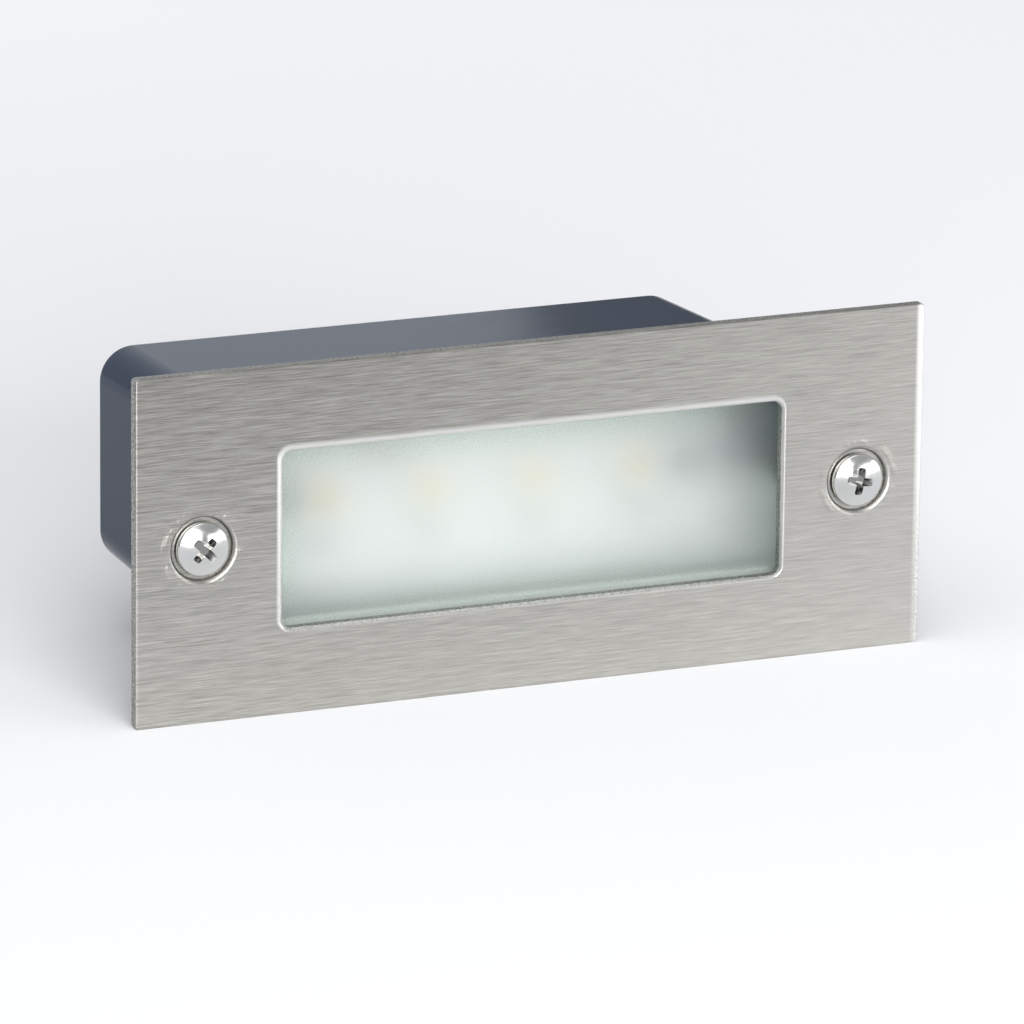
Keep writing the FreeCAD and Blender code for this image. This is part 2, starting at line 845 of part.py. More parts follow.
def fuse_resistor():
    """A fusible resistor lying on the board, with its two wire legs."""
    x, y = on_driver_board(fuse_place)
    axis_z = driver_top + fuse_radius
    body = Part.makeCylinder(fuse_radius, fuse_length, V(x - fuse_length / 2, y, axis_z),
                             V(1, 0, 0))
    body = body.makeFillet(fuse_end_radius, body.Edges)
    for side in (-1, 1):
        leg_x = x + side * (fuse_length / 2 + fuse_lead_reach / 2)
        inner_x = x + side * (fuse_length / 2 - fuse_lead_reach)
        reach = Part.makeCylinder(fuse_lead_radius, abs(leg_x - inner_x),
                                  V(min(leg_x, inner_x), y, axis_z), V(1, 0, 0))
        drop = stud(fuse_lead_radius, leg_x, y, driver_top, axis_z)
        knee = Part.makeSphere(fuse_lead_radius, V(leg_x, y, axis_z))
        body = body.fuse(reach).fuse(drop).fuse(knee)
    return body


def driver_chip():
    """A small control chip with a row of legs on each side."""
    x, y = on_driver_board(chip_place)
    length, width, height = chip_size
    leg_width, leg_reach, leg_height = chip_leg_size
    body = block(x - length / 2, x + length / 2, y - width / 2, y + width / 2,
                 driver_top + chip_standoff, driver_top + height)
    for index in range(chip_leg_count):
        leg_x = x + (index - (chip_leg_count - 1) / 2) * chip_leg_pitch
        for side in (-1, 1):
            near = y + side * (width / 2 - chip_leg_root)
            far = y + side * (width / 2 + leg_reach)
            leg = block(leg_x - leg_width / 2, leg_x + leg_width / 2, min(near, far),
                        max(near, far), driver_top, driver_top + leg_height)
            body = body.fuse(leg)
    return body


def bridge_rectifier():
    x, y = on_driver_board(bridge_place)
    length, width, height = bridge_size
    body = block(x - length / 2, x + length / 2, y - width / 2, y + width / 2,
                 driver_top, driver_top + height)
    top = [e for e in body.Edges if abs(e.BoundBox.ZMin - driver_top - height) < same_depth]
    return body.makeChamfer(bridge_chamfer, top)


# ---- Terminal block and cable entry --------------------------------------------------------

def terminal_foot_block():
    """The foot in the box that the terminal block is screwed to."""
    half = terminal_pitch / 2 + clamp_radius
    return block(terminal_middle_x - half, terminal_middle_x + half,
                 terminal_front + terminal_foot_inset, terminal_back - terminal_foot_inset,
                 foot_start_z(terminal_back), terminal_underside)


def terminal_screw_hole():
    bottom = terminal_underside - terminal_screw_bite - blind_hole_spare
    return stud(tapping_screw_radius + tapping_screw_fit, terminal_middle_x, terminal_middle_y,
                bottom, terminal_underside)


def terminal_block():
    """The moulded block: a bore for each clamp, a well over each clamp screw, a fixing hole."""
    left = terminal_places[0] - terminal_side
    right = terminal_places[-1] + terminal_side
    body = block(left, right, terminal_front, terminal_back, terminal_underside, terminal_top)
    for x in terminal_places:
        body = body.cut(rod(clamp_radius + clamp_fit, x, terminal_axis_z,
                            terminal_front, terminal_back))
        for y in clamp_screw_rows():
            body = body.cut(stud(clamp_well_radius, x, y, terminal_axis_z, terminal_top))
    hole = stud(tapping_screw_radius + tapping_screw_clearance, terminal_middle_x,
                terminal_middle_y, terminal_underside, terminal_top)
    return body.cut(hole)


def clamp_screw_rows():
    quarter = terminal_length / 4
    return terminal_front + quarter, terminal_back - quarter


def terminal_clamp(x):
    """A brass tube with two tapped holes."""
    front = terminal_front + clamp_end_inset
    back = terminal_back - clamp_end_inset
    clamp = rod(clamp_radius, x, terminal_axis_z, front, back)
    clamp = clamp.cut(rod(clamp_bore_radius, x, terminal_axis_z, front, back))
    for y in clamp_screw_rows():
        clamp = clamp.cut(stud(clamp_screw_radius + clamp_fit, x, y,
                               terminal_axis_z, terminal_axis_z + clamp_radius))
    return clamp


def clamp_screw(x, y):
    """A slotted grub screw in a clamp."""
    bottom = terminal_axis_z + lead_radius + clamp_screw_gap
    top = bottom + clamp_screw_length
    screw = stud(clamp_screw_radius, x, y, bottom, top)
    slot = block(x - clamp_screw_radius, x + clamp_screw_radius,
                 y - clamp_slot_width / 2, y + clamp_slot_width / 2,
                 top - clamp_slot_depth, top)
    return screw.cut(slot)


def terminal_screw():
    """The long screw that fixes the block to its foot."""
    screw = tapping_screw(terminal_top - terminal_underside + terminal_screw_bite)
    return screw_downwards(screw, terminal_middle_x, terminal_middle_y, terminal_top)


def cable_grommet():
    """A rubber grommet that grips the rear wall's hole and seals round the cable."""
    inner = box_inner_back - grommet_flange_thickness
    outer = box_depth + grommet_flange_thickness
    length = outer - inner
    neck_start = grommet_flange_thickness
    neck_end = length - grommet_flange_thickness
    soft = grommet_edge_chamfer
    profile = [
        (cable_hole_radius, 0),
        (grommet_flange_radius - soft, 0),
        (grommet_flange_radius, soft),
        (grommet_flange_radius, neck_start),
        (grommet_neck_radius, neck_start),
        (grommet_neck_radius, neck_end),
        (grommet_flange_radius, neck_end),
        (grommet_flange_radius - soft, length),
        (cable_hole_radius, length),
    ]
    return turned(profile, V(cable_x, inner, cable_z), INTO_WALL)


def saddle_seat_z():
    return cable_z - cable_hole_radius


def saddle_arch_radius():
    return cable_hole_radius + saddle_cable_gap


def saddle_half_length():
    return saddle_arch_radius() + saddle_thickness + saddle_ear_length


def saddle_screw_places():
    reach = saddle_half_length() - saddle_ear_length / 2
    return cable_x - reach, cable_x + reach


def saddle_pedestal():
    """The pedestal in the box that the cable lies on, with a screw hole each side."""
    half = saddle_half_length()
    return block(cable_x - half, cable_x + half, saddle_front, saddle_back,
                 foot_start_z(saddle_back), saddle_seat_z())


def cord_saddle():
    """The strap over the cable that takes its pull."""
    half = saddle_half_length()
    seat = saddle_seat_z()
    inner = saddle_arch_radius()
    outer = inner + saddle_thickness
    ears = block(cable_x - half, cable_x + half, saddle_front, saddle_back,
                 seat, seat + saddle_thickness)
    arch = rod(outer, cable_x, cable_z, saddle_front, saddle_back)
    legs = block(cable_x - outer, cable_x + outer, saddle_front, saddle_back, seat, cable_z)
    strap = ears.fuse(arch).fuse(legs)
    strap = strap.cut(rod(inner, cable_x, cable_z, saddle_front, saddle_back))
    strap = strap.cut(block(cable_x - inner, cable_x + inner, saddle_front, saddle_back,
                            seat - outer, cable_z))
    strap = strap.cut(block(cable_x - half, cable_x + half, saddle_front, saddle_back,
                            seat - 2 * outer, seat))
    for x in saddle_screw_places():
        strap = strap.cut(stud(tapping_screw_radius + tapping_screw_clearance, x,
                               saddle_middle_y, seat, seat + saddle_thickness))
    return strap


def saddle_screw(x):
    screw = tapping_screw(saddle_screw_length)
    return screw_downwards(screw, x, saddle_middle_y, saddle_seat_z() + saddle_thickness)


# ---- Leads ---------------------------------------------------------------------------------

def lamp_lead(spot):
    """From the lamp board's solder pad, back through the tray and down to the driver."""
    x, y = spot
    start = board_front - lead_solder_height
    return lead([
        (x, start, lamp_lead_z),
        (x, y, lamp_lead_z),
        (x, y, driver_underside),
    ])


def live_lead():
    """From the first terminal straight across to the driver."""
    way_x = terminal_places[0]
    x, y = supply_lead_spots()[0]
    return lead([
        (way_x, terminal_middle_y, terminal_axis_z),
        (way_x, y, terminal_axis_z),
        (x, y, terminal_axis_z),
        (x, y, driver_underside),
    ])


def neutral_lead():
    """From the second terminal, over the first lead, to the driver."""
    way_x = terminal_places[-1]
    x, y = supply_lead_spots()[1]
    crossing_z = terminal_axis_z + neutral_lead_rise
    return lead([
        (way_x, terminal_middle_y, terminal_axis_z),
        (way_x, y, terminal_axis_z),
        (way_x, y, crossing_z),
        (x, y, crossing_z),
        (x, y, driver_underside),
    ])


os.makedirs("parts", exist_ok=True)

export("back_box", back_box())
export("threaded_inserts", *[threaded_insert(x) for x in screw_places])
export("faceplate", faceplate())
export("face_gasket", face_gasket())
export("wall_gasket", wall_gasket())
export("window_glass", window_glass())
export("glass_bead", glass_bead())
export("left_screw_washer", screw_washer(screw_places[0]))
export("left_face_screw", face_screw(screw_places[0], left_recess_turn))
export("right_screw_washer", screw_washer(screw_places[1]))
export("right_face_screw", face_screw(screw_places[1], right_recess_turn))
export("lamp_tray", lamp_tray())
export("rim_pads", rim_pad(-1), rim_pad(1))
export("tray_screws", *[tray_screw(x) for x in pillar_places()])
export("lamp_board", lamp_board())
export("lamp_bodies", *[lamp_body(x) for x in lamp_places()])
export("lamp_phosphors", *[lamp_phosphor(x) for x in lamp_places()])
export("chip_resistors", *[chip_resistor(x) for x in lamp_places()])
export("lamp_board_screws", *[lamp_board_screw(x) for x in board_screw_places()])
export("driver_board", driver_board())
export("driver_screws", *[driver_screw(x, y) for x, y in driver_screw_spots()])
export("smoothing_capacitor", smoothing_capacitor())
export("choke_core", choke_core())
export("choke_winding", choke_winding())
export("film_capacitor", film_capacitor())
export("fuse_resistor", fuse_resistor())
export("driver_chip", driver_chip())
export("bridge_rectifier", bridge_rectifier())
export("terminal_block", terminal_block())
export("terminal_clamps", *[terminal_clamp(x) for x in terminal_places])
export("clamp_screws", *[clamp_screw(x, y) for x in terminal_places for y in clamp_screw_rows()])
export("terminal_fixing_screw", terminal_screw())
export("cable_grommet", cable_grommet())
export("cord_saddle", cord_saddle())
export("saddle_screws", *[saddle_screw(x) for x in saddle_screw_places()])
export("lamp_lead_plus", lamp_lead(lamp_lead_spots()[0]))
export("lamp_lead_minus", lamp_lead(lamp_lead_spots()[1]))
export("supply_lead_live", live_lead())
export("supply_lead_neutral", neutral_lead())
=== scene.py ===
import math

import bpy
from mathutils import Matrix, Vector


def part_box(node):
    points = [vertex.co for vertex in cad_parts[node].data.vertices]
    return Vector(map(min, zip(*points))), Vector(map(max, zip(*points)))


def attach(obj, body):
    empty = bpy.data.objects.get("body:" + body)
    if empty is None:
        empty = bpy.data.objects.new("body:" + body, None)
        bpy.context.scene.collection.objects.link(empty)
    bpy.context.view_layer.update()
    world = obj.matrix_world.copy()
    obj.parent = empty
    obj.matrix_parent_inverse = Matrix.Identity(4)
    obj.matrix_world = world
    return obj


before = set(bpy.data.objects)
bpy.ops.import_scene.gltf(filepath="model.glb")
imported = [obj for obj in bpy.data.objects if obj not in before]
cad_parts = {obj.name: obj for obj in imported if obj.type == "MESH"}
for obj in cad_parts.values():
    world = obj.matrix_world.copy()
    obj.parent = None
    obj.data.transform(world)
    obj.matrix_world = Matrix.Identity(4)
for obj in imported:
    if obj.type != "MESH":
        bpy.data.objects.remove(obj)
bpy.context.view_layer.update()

# ---- Floor, light and camera -----------------------------------------------------------------
# The light stands on the lower edge of its faceplate on a white studio floor, with the box behind
# it. The camera's place and lens were worked out from the plate's four corners in the photograph.


def linear(hex_colour):
    """A written sRGB colour as the linear colour that Blender's sockets hold."""
    channels = [int(hex_colour[i:i + 2], 16) / 255 for i in (1, 3, 5)]
    return [c / 12.92 if c <= 0.04045 else ((c + 0.055) / 1.055) ** 2.4 for c in channels] + [1.0]


def add(tree, kind, links=None, stops=(), **settings):
    """Adds a shader node, with its settings and a ramp's stops. Each input takes a plain value or
    another output. A node given to an input stands for its first output."""
    new = tree.nodes.new("ShaderNode" + kind)
    for name, value in settings.items():
        setattr(new, name, value)
    for index, (position, hex_colour) in enumerate(stops):
        new.color_ramp.elements[index].position = position
        new.color_ramp.elements[index].color = linear(hex_colour)
    for name, value in (links or {}).items():
        if isinstance(value, bpy.types.Node):
            value = value.outputs[0]
        if isinstance(value, bpy.types.NodeSocket):
            tree.links.new(value, new.inputs[name])
        else:
            new.inputs[name].default_value = value
    return new


def material(name):
    """An empty material, its tree, and the position on the object that its patterns follow."""
    made = bpy.data.materials.new(name)
    made.use_nodes = True
    tree = made.node_tree
    tree.nodes.clear()
    place = add(tree, "TexCoord").outputs["Object"]
    return made, tree, place


camera_azimuth = math.radians(-23.656)
camera_elevation = math.radians(15.353)
camera_roll = math.radians(0.587)
camera_distance = 1.248
camera_shift = (-0.003278, 0.000268)
camera_focus_px = 8918.06
picture_px = 1024
sensor_mm = 36.0
plate_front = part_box("faceplate")[0].y

backwards = Vector((math.sin(camera_azimuth) * math.cos(camera_elevation),
                    -math.cos(camera_azimuth) * math.cos(camera_elevation),
                    math.sin(camera_elevation)))
level_right = Vector((math.cos(camera_azimuth), math.sin(camera_azimuth), 0))
level_up = backwards.cross(level_right)
right = math.cos(camera_roll) * level_right + math.sin(camera_roll) * level_up
up = math.cos(camera_roll) * level_up - math.sin(camera_roll) * level_right
eye = (backwards * camera_distance + level_right * camera_shift[0] + level_up * camera_shift[1]
       + Vector((0, plate_front, 0)))

camera_data = bpy.data.cameras.new("camera")
camera_data.sensor_width = sensor_mm
camera_data.lens = camera_focus_px / picture_px * sensor_mm
camera_data.clip_end = 20
camera = bpy.data.objects.new("camera", camera_data)
camera.matrix_world = Matrix((
    (right.x, up.x, backwards.x, eye.x),
    (right.y, up.y, backwards.y, eye.y),
    (right.z, up.z, backwards.z, eye.z),
    (0, 0, 0, 1)))
bpy.context.scene.collection.objects.link(camera)
bpy.context.scene.camera = camera
bpy.context.scene.view_settings.view_transform = "Standard"

# Matt white paper, with a faint mottle that is too soft to see as a pattern.
mottle_mm = 333.0
floor_size = 12.0
floor_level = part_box("faceplate")[0].z
bpy.ops.object.select_all(action="DESELECT")
bpy.ops.mesh.primitive_plane_add(size=floor_size, location=(0, 0, floor_level))
floor = bpy.context.object
floor.name = "floor"
bpy.ops.object.transform_apply(location=True, rotation=False, scale=False)
paper, tree, place = material("studio_paper")
mottle = add(tree, "TexNoise", {"Vector": place, "Scale": 1000 / mottle_mm, "Detail": 2.0})
tone = add(tree, "ValToRGB", {"Fac": mottle}, stops=((0.0, "#F8F9FB"), (1.0, "#FAFAFC")))
surface = add(tree, "BsdfDiffuse", {"Color": tone, "Roughness": 0.5})
add(tree, "OutputMaterial", {"Surface": surface})
floor.data.materials.append(paper)

# The room's light comes mostly from its white ceiling.
walls_strength = 0.22
ceiling_strength = 0.52
ceiling_start = 0.7

world = bpy.data.worlds.new("studio")
world.use_nodes = True
room = world.node_tree
backdrop = room.nodes["Background"]
backdrop.inputs["Color"].default_value = linear("#F8FAFC")
heading = add(room, "SeparateXYZ", {"Vector": add(room, "TexCoord").outputs["Generated"]})
fade = add(room, "MapRange", {"Value": heading.outputs["Z"], "From Max": ceiling_start,
                              "To Min": walls_strength, "To Max": ceiling_strength})
room.links.new(fade.outputs["Result"], backdrop.inputs["Strength"])
bpy.context.scene.world = world

# A very large softbox overhead, far enough away to light the whole floor evenly.
overhead_azimuth = math.radians(-40)
overhead_elevation = math.radians(65)
overhead_spread = math.radians(70)
overhead_strength = 0.77
overhead_data = bpy.data.lights.new("overhead_softbox", "SUN")
overhead_data.angle = overhead_spread
overhead_data.energy = overhead_strength
overhead = bpy.data.objects.new("overhead_softbox", overhead_data)
overhead.rotation_euler = (math.pi / 2 - overhead_elevation, 0, overhead_azimuth)
bpy.context.scene.collection.objects.link(overhead)


def soft_light(name, place, aim, size, brightness, colour):
    """A softbox: a rectangle of even light. A brightness of 1 is as bright as white paper."""
    data = bpy.data.lights.new(name, "AREA")
    data.shape = "RECTANGLE"
    data.size, data.size_y = size
    data.energy = brightness * math.pi * size[0] * size[1]
    data.color = linear(colour)[:3]
    lamp = bpy.data.objects.new(name, data)
    lamp.location = place
    lamp.rotation_euler = (Vector(aim) - Vector(place)).to_track_quat("-Z", "Y").to_euler()
    bpy.context.scene.collection.objects.link(lamp)


soft_light("front_softbox", place=(-0.2, -1.22, 0.26), aim=(0, 0, 0), size=(0.8, 0.5),
           brightness=7.6, colour="#FFFFFF")
soft_light("right_softbox", place=(0.59, -0.495, 0.07), aim=(0, 0, 0.02), size=(0.75, 0.17),
           brightness=3.7, colour="#FFFFFF")
soft_light("back_panel", place=(-0.125, 0.62, 0.2), aim=(0, 0, 0), size=(0.9, 0.4),
           brightness=0.62, colour="#F4F8FF")

# ---- Back box --------------------------------------------------------------------------------
# The deep box that is built into the wall. It is moulded in glossy dark navy ABS, so it mirrors
# the room with the faint ripple of a polished mould, and its feet and pillars are part of it.


def dress(node, made):
    """Puts a material on a CAD node, in the slots that it came with."""
    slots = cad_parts[node].data.materials
    if not slots:
        slots.append(made)
    for index in range(len(slots)):
        slots[index] = made


def grained(name, colours, grain_mm, roughness, relief_mm, sockets=None):
    """A finish whose tone, gloss and relief vary with one grain. Roughness is (least, most)."""
    made, tree, place = material(name)
    grain = add(tree, "TexNoise", {"Vector": place, "Scale": 1000 / grain_mm, "Detail": 4.0,
                                   "Roughness": 0.55})
    tone = add(tree, "ValToRGB", {"Fac": grain}, stops=((0.3, colours[0]), (0.7, colours[1])))
    gloss = add(tree, "MapRange", {"Value": grain, "From Min": 0.3, "From Max": 0.7,
                                   "To Min": roughness[0], "To Max": roughness[1]})
    relief = add(tree, "Bump", {"Height": grain, "Distance": relief_mm / 1000})
    inputs = {"Base Color": tone, "Roughness": gloss, "Normal": relief}
    inputs.update(sockets or {})
    surface = add(tree, "BsdfPrincipled", inputs)
    add(tree, "OutputMaterial", {"Surface": surface})
    return made


dress("back_box", grained("moulded_abs_navy", ("#092540", "#0B2946"), 9.0, (0.11, 0.17), 0.005,
                          {"IOR": 1.22}))

# ---- Threaded inserts ------------------------------------------------------------------------
# Two turned brass bushes moulded into the box's bosses, with grooves that keep them from pulling
# out. The face screws hold the plate to them.

dress("threaded_inserts", grained("turned_brass", ("#B8934C", "#C8A560"), 0.6, (0.22, 0.32),
                                  0.002, {"Metallic": 1.0}))

# ---- Cable grommet and saddle ----------------------------------------------------------------
# A black rubber grommet seals the supply cable in the rear wall, and a nylon strap screwed to a
# pedestal takes the cable's pull. Both are moulded, the rubber matt and the nylon satin.

dress("cable_grommet", grained("moulded_rubber", ("#141414", "#1C1C1C"), 0.8, (0.62, 0.78), 0.02,
                               {"IOR": 1.5}))
dress("cord_saddle", grained("moulded_nylon_black", ("#17181A", "#1E1F22"), 1.2, (0.38, 0.48),
                             0.01, {"IOR": 1.53}))

# ---- Terminal block --------------------------------------------------------------------------
# Two plated brass tubes in a natural nylon moulding, each with two slotted screws that clamp a
# wire. The moulding stands on a foot of the box.

dress("terminal_block", grained("moulded_nylon_natural", ("#D9D7CC", "#E4E2D8"), 1.0,
                                (0.36, 0.46), 0.008, {"IOR": 1.53, "Subsurface Weight": 0.1,
                                                      "Subsurface Scale": 0.001}))
dress("terminal_clamps", grained("plated_brass", ("#BFA25A", "#D0B56F"), 0.5, (0.25, 0.36),
                                 0.002, {"Metallic": 1.0}))

# ---- Small screws ----------------------------------------------------------------------------
# Cross-head tapping screws for plastic and the terminals' slotted clamp screws, cold formed and
# zinc plated, with a faintly bluish, slightly uneven shine.

zinc = grained("zinc_plated_steel", ("#A9ADB2", "#C3C6C8"), 0.35, (0.26, 0.40), 0.002,
               {"Metallic": 1.0})
for name in ("clamp_screws", "terminal_fixing_screw", "saddle_screws", "driver_screws",
             "lamp_board_screws", "tray_screws"):
    dress(name, zinc)

# ---- Driver ----------------------------------------------------------------------------------
# A small glass-fibre board under green solder resist carries the driver: a sleeved electrolytic
# can, a wound ferrite drum, a dipped film capacitor, a fusible resistor, a bridge and a chip.

# The resist is thinner over tracks about 4 mm apart. It also follows the woven glass threads,
# which are drawn several times as coarse as they are, so that they show.
track_mm = 3.85
drawn_thread_mm = 3.93

resist, tree, place = material("solder_resist_green")
# A diagonal wave repeats along each side after 2 pi / 10 of its unit.
weave = add(tree, "TexWave", {"Vector": place, "Scale": 200 * math.pi / drawn_thread_mm,
                              "Distortion": 0.4}, wave_type="BANDS", bands_direction="DIAGONAL")
tracks = add(tree, "TexVoronoi", {"Vector": place, "Scale": 1000 / track_mm},
             distance="CHEBYCHEV", feature="F1")
tone = add(tree, "ValToRGB", {"Fac": tracks}, stops=((0.34, "#2A7A45"), (0.38, "#17552E")))
relief = add(tree, "Bump", {"Height": weave.outputs["Fac"], "Distance": 0.00001})
surface = add(tree, "BsdfPrincipled", {"Base Color": tone, "Roughness": 0.28,
                                       "IOR": 1.5, "Normal": relief})
add(tree, "OutputMaterial", {"Surface": surface})
dress("driver_board", resist)

dress("smoothing_capacitor", grained("shrink_sleeve_black", ("#0E1118", "#161A24"), 2.5,
                                     (0.18, 0.26), 0.01, {"IOR": 1.5}))
dress("choke_core", grained("sintered_ferrite", ("#26272A", "#34363A"), 0.25, (0.45, 0.62),
                            0.01))

# 0.3 mm wire, laid turn beside turn along the drum's axis and drawn twice as coarse, so that it
# shows. A straight wave repeats after 2 pi / 20 of its unit.
drawn_wire_mm = 0.593

winding, tree, place = material("enamelled_copper_wire")
turns = add(tree, "TexWave", {"Vector": place, "Scale": 100 * math.pi / drawn_wire_mm,
                              "Distortion": 0.6}, wave_type="BANDS", bands_direction="Z")
# Painted shade: each turn is drawn dark brown in the grooves beside it and copper on its crest.
tone = add(tree, "ValToRGB", {"Fac": turns.outputs["Fac"]},
           stops=((0.0, "#5A2413"), (1.0, "#B4623A")))
relief = add(tree, "Bump", {"Height": turns.outputs["Fac"], "Distance": 0.00012})
surface = add(tree, "BsdfPrincipled", {"Base Color": tone, "Metallic": 1.0,
                                       "Roughness": 0.3, "Normal": relief})
add(tree, "OutputMaterial", {"Surface": surface})
dress("choke_winding", winding)
dress("film_capacitor", grained("dipped_epoxy_blue", ("#1B3F8E", "#2850A8"), 1.6, (0.14, 0.24),
                                0.02, {"IOR": 1.55}))
dress("fuse_resistor", grained("lacquered_ceramic", ("#6E8A66", "#82A079"), 0.4, (0.3, 0.42),
                               0.006))
epoxy = grained("moulded_epoxy_black", ("#101113", "#191A1D"), 0.2, (0.5, 0.62), 0.006)
for name in ("driver_chip", "bridge_rectifier"):
    dress(name, epoxy)

# ---- Leads -----------------------------------------------------------------------------------
# Stranded wires in extruded PVC, with a soft and slightly uneven shine. Two run from the
# terminals to the driver, and two from the driver to the lamp board.

for name, colours in (("lamp_lead_plus", ("#A81812", "#B8241B")),
                      ("lamp_lead_minus", ("#111111", "#1A1A1A")),
                      ("supply_lead_live", ("#4F2B16", "#5C341C")),
                      ("supply_lead_neutral", ("#163F8C", "#1F4C9C"))):
    dress(name, grained("extruded_pvc_" + name, colours, 0.9, (0.34, 0.46), 0.006,
                        {"IOR": 1.53}))

# ---- Lamp tray -------------------------------------------------------------------------------
# A white ABS channel behind the glass, to throw the lamps' light forward. Its ends are drawn dark
# grey as painted shade, and its walls are drawn darker towards the glass as painted shade. Two
# soft strips of white silicone close its rims to the glass.

shade_free_half = 0.0411
end_shade_blur = 0.0004
painted_shade_reach = 0.009
front_shade_strength = 0.75
orange_peel_mm = 1.43
tray_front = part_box("lamp_tray")[0].y

lining, tree, place = material("white_abs_painted_shade")
orange_peel = add(tree, "TexNoise", {"Vector": place, "Scale": 1000 / orange_peel_mm,
                                     "Detail": 3.0})
spot = add(tree, "SeparateXYZ", {"Vector": place}).outputs
from_middle = add(tree, "Math", {0: spot["X"]}, operation="ABSOLUTE")
# Painted shade: beyond this half width, the tray's ends are drawn dark grey.
end_shade_mask = add(tree, "MapRange", {"Value": from_middle, "From Min": shade_free_half - end_shade_blur,
                              "From Max": shade_free_half + end_shade_blur})
# Painted shade: the walls are drawn darker towards the glass.
front_shade_mask = add(tree, "MapRange", {"Value": spot["Y"], "From Min": tray_front,
                                  "From Max": tray_front + painted_shade_reach,
                                  "To Min": front_shade_strength, "To Max": 0.0})
painted_shade_amount = add(tree, "Math", {0: end_shade_mask, 1: front_shade_mask}, operation="MAXIMUM")
# A Mix node's two colours are its inputs 6 and 7, and the mixed one is its output 2.
mixed_colour = add(tree, "Mix", {"Factor": painted_shade_amount, 6: linear("#F5F6F4"), 7: linear("#26292C")},
           data_type="RGBA").outputs[2]
relief = add(tree, "Bump", {"Height": orange_peel, "Distance": 0.00001})
surface = add(tree, "BsdfPrincipled", {"Base Color": mixed_colour, "Roughness": 0.46,
                                       "IOR": 1.5, "Normal": relief})
add(tree, "OutputMaterial", {"Surface": surface})
dress("lamp_tray", lining)
dress("rim_pads", grained("soft_silicone_white", ("#E9EAE7", "#F1F2EF"), 0.7, (0.55, 0.7),
                          0.01))

# ---- Lamp board and lamps --------------------------------------------------------------------
# A board under white solder resist carries four moulded lamp packages. Each has a cup filled
# with silicone and yellow phosphor, which looks pale lemon while the lamp is off.

dress("lamp_board", grained("solder_resist_white", ("#F0F1EE", "#F7F7F4"), 0.8, (0.3, 0.4),
                            0.004))
dress("lamp_bodies", grained("moulded_ppa_white", ("#F2F1EC", "#F8F7F3"), 0.5, (0.35, 0.45),
                             0.003))
dress("lamp_phosphors", grained("phosphor_silicone", ("#EFC964", "#F7DC8E"), 0.15, (0.3, 0.42),
                                0.004))

# Each lamp has a chip resistor below it, glazed grey over ceramic, with tinned ends.
resistor_low, resistor_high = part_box("chip_resistors")
resistor_half = 0.0016
lamp_count = 4
lamp_step = (resistor_high.x - resistor_low.x - 2 * resistor_half) / (lamp_count - 1)
tinned_end = 0.0005
cast_grain_mm = 0.4

glaze, tree, place = material("glazed_chip_resistor")
# A place's distance from the middle of its own resistor, counted in steps between lamps.
at_end = add(tree, "SeparateXYZ", {"Vector": place}).outputs["X"]
for operation, number in (("DIVIDE", lamp_step), ("FRACT", 0.0), ("SUBTRACT", 0.5),
                          ("ABSOLUTE", 0.0),
                          ("GREATER_THAN", (resistor_half - tinned_end) / lamp_step)):
    at_end = add(tree, "Math", {0: at_end, 1: number}, operation=operation)
cast = add(tree, "TexNoise", {"Vector": place, "Scale": 1000 / cast_grain_mm, "Detail": 3.0})
mixed_colour = add(tree, "Mix", {"Factor": at_end, 6: linear("#5F6567"), 7: linear("#C4C6C8")},
           data_type="RGBA").outputs[2]
relief = add(tree, "Bump", {"Height": cast, "Distance": 0.00001})
surface = add(tree, "BsdfPrincipled", {"Base Color": mixed_colour, "Metallic": at_end,
                                       "Roughness": 0.32, "Normal": relief})
add(tree, "OutputMaterial", {"Surface": surface})
dress("chip_resistors", glaze)

# ---- Solder on the lamp board ----------------------------------------------------------------
# A fillet of tin solder joins each end of the lamps and resistors to the board. It is reflowed,
# so it is smooth and bright.

lamp_half = 0.0025
fillet_reach = 0.00055
fillet_rounding = 0.00018
# Half the width of a fillet, and how far it stands off the board.
lamp_fillet = (0.0015, 0.0007)
resistor_fillet = (0.0007, 0.0005)
board_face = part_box("lamp_bodies")[1].y


def fillet(half_width, height):
    """A fillet of solder, modelled at the origin along z."""
    bpy.ops.object.select_all(action="DESELECT")
    bpy.ops.mesh.primitive_cylinder_add(vertices=20, radius=1.0, depth=2 * half_width)
    wedge = bpy.context.object
    wedge.scale = (fillet_reach, height, 1.0)
    bpy.ops.object.transform_apply(location=False, rotation=False, scale=True)
    bevel = wedge.modifiers.new("rounded ends", "BEVEL")
    bevel.width = fillet_rounding
    bevel.segments = 3
    bevel.limit_method = "ANGLE"
    bpy.ops.object.modifier_apply(modifier=bevel.name)
    return wedge


resistor_z = (resistor_low.z + resistor_high.z) / 2
fillets = []
for end_wall, z, size in ((lamp_half, 0.0, lamp_fillet),
                          (resistor_half, resistor_z, resistor_fillet)):
    model = fillet(*size)
    for index in range(lamp_count):
        lamp_x = (index - (lamp_count - 1) / 2) * lamp_step
        for side in (-1, 1):
            wedge = model.copy()
            wedge.data = model.data.copy()
            wedge.location = (lamp_x + side * end_wall, board_face, z)
            bpy.context.scene.collection.objects.link(wedge)
            fillets.append(wedge)
    bpy.data.objects.remove(model)
bpy.ops.object.select_all(action="DESELECT")
for wedge in fillets:
    wedge.select_set(True)
bpy.context.view_layer.objects.active = fillets[0]
bpy.ops.object.join()
bpy.ops.object.transform_apply(location=True, rotation=False, scale=False)
lamp_solder = bpy.context.object
lamp_solder.name = "lamp_solder"
lamp_solder.data.materials.append(grained("reflowed_tin_solder", ("#B9BCBF", "#D3D5D6"), 0.4,
                                          (0.18, 0.3), 0.004, {"Metallic": 1.0}))
bpy.ops.object.shade_smooth_by_angle(angle=math.radians(40))
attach(lamp_solder, "box")

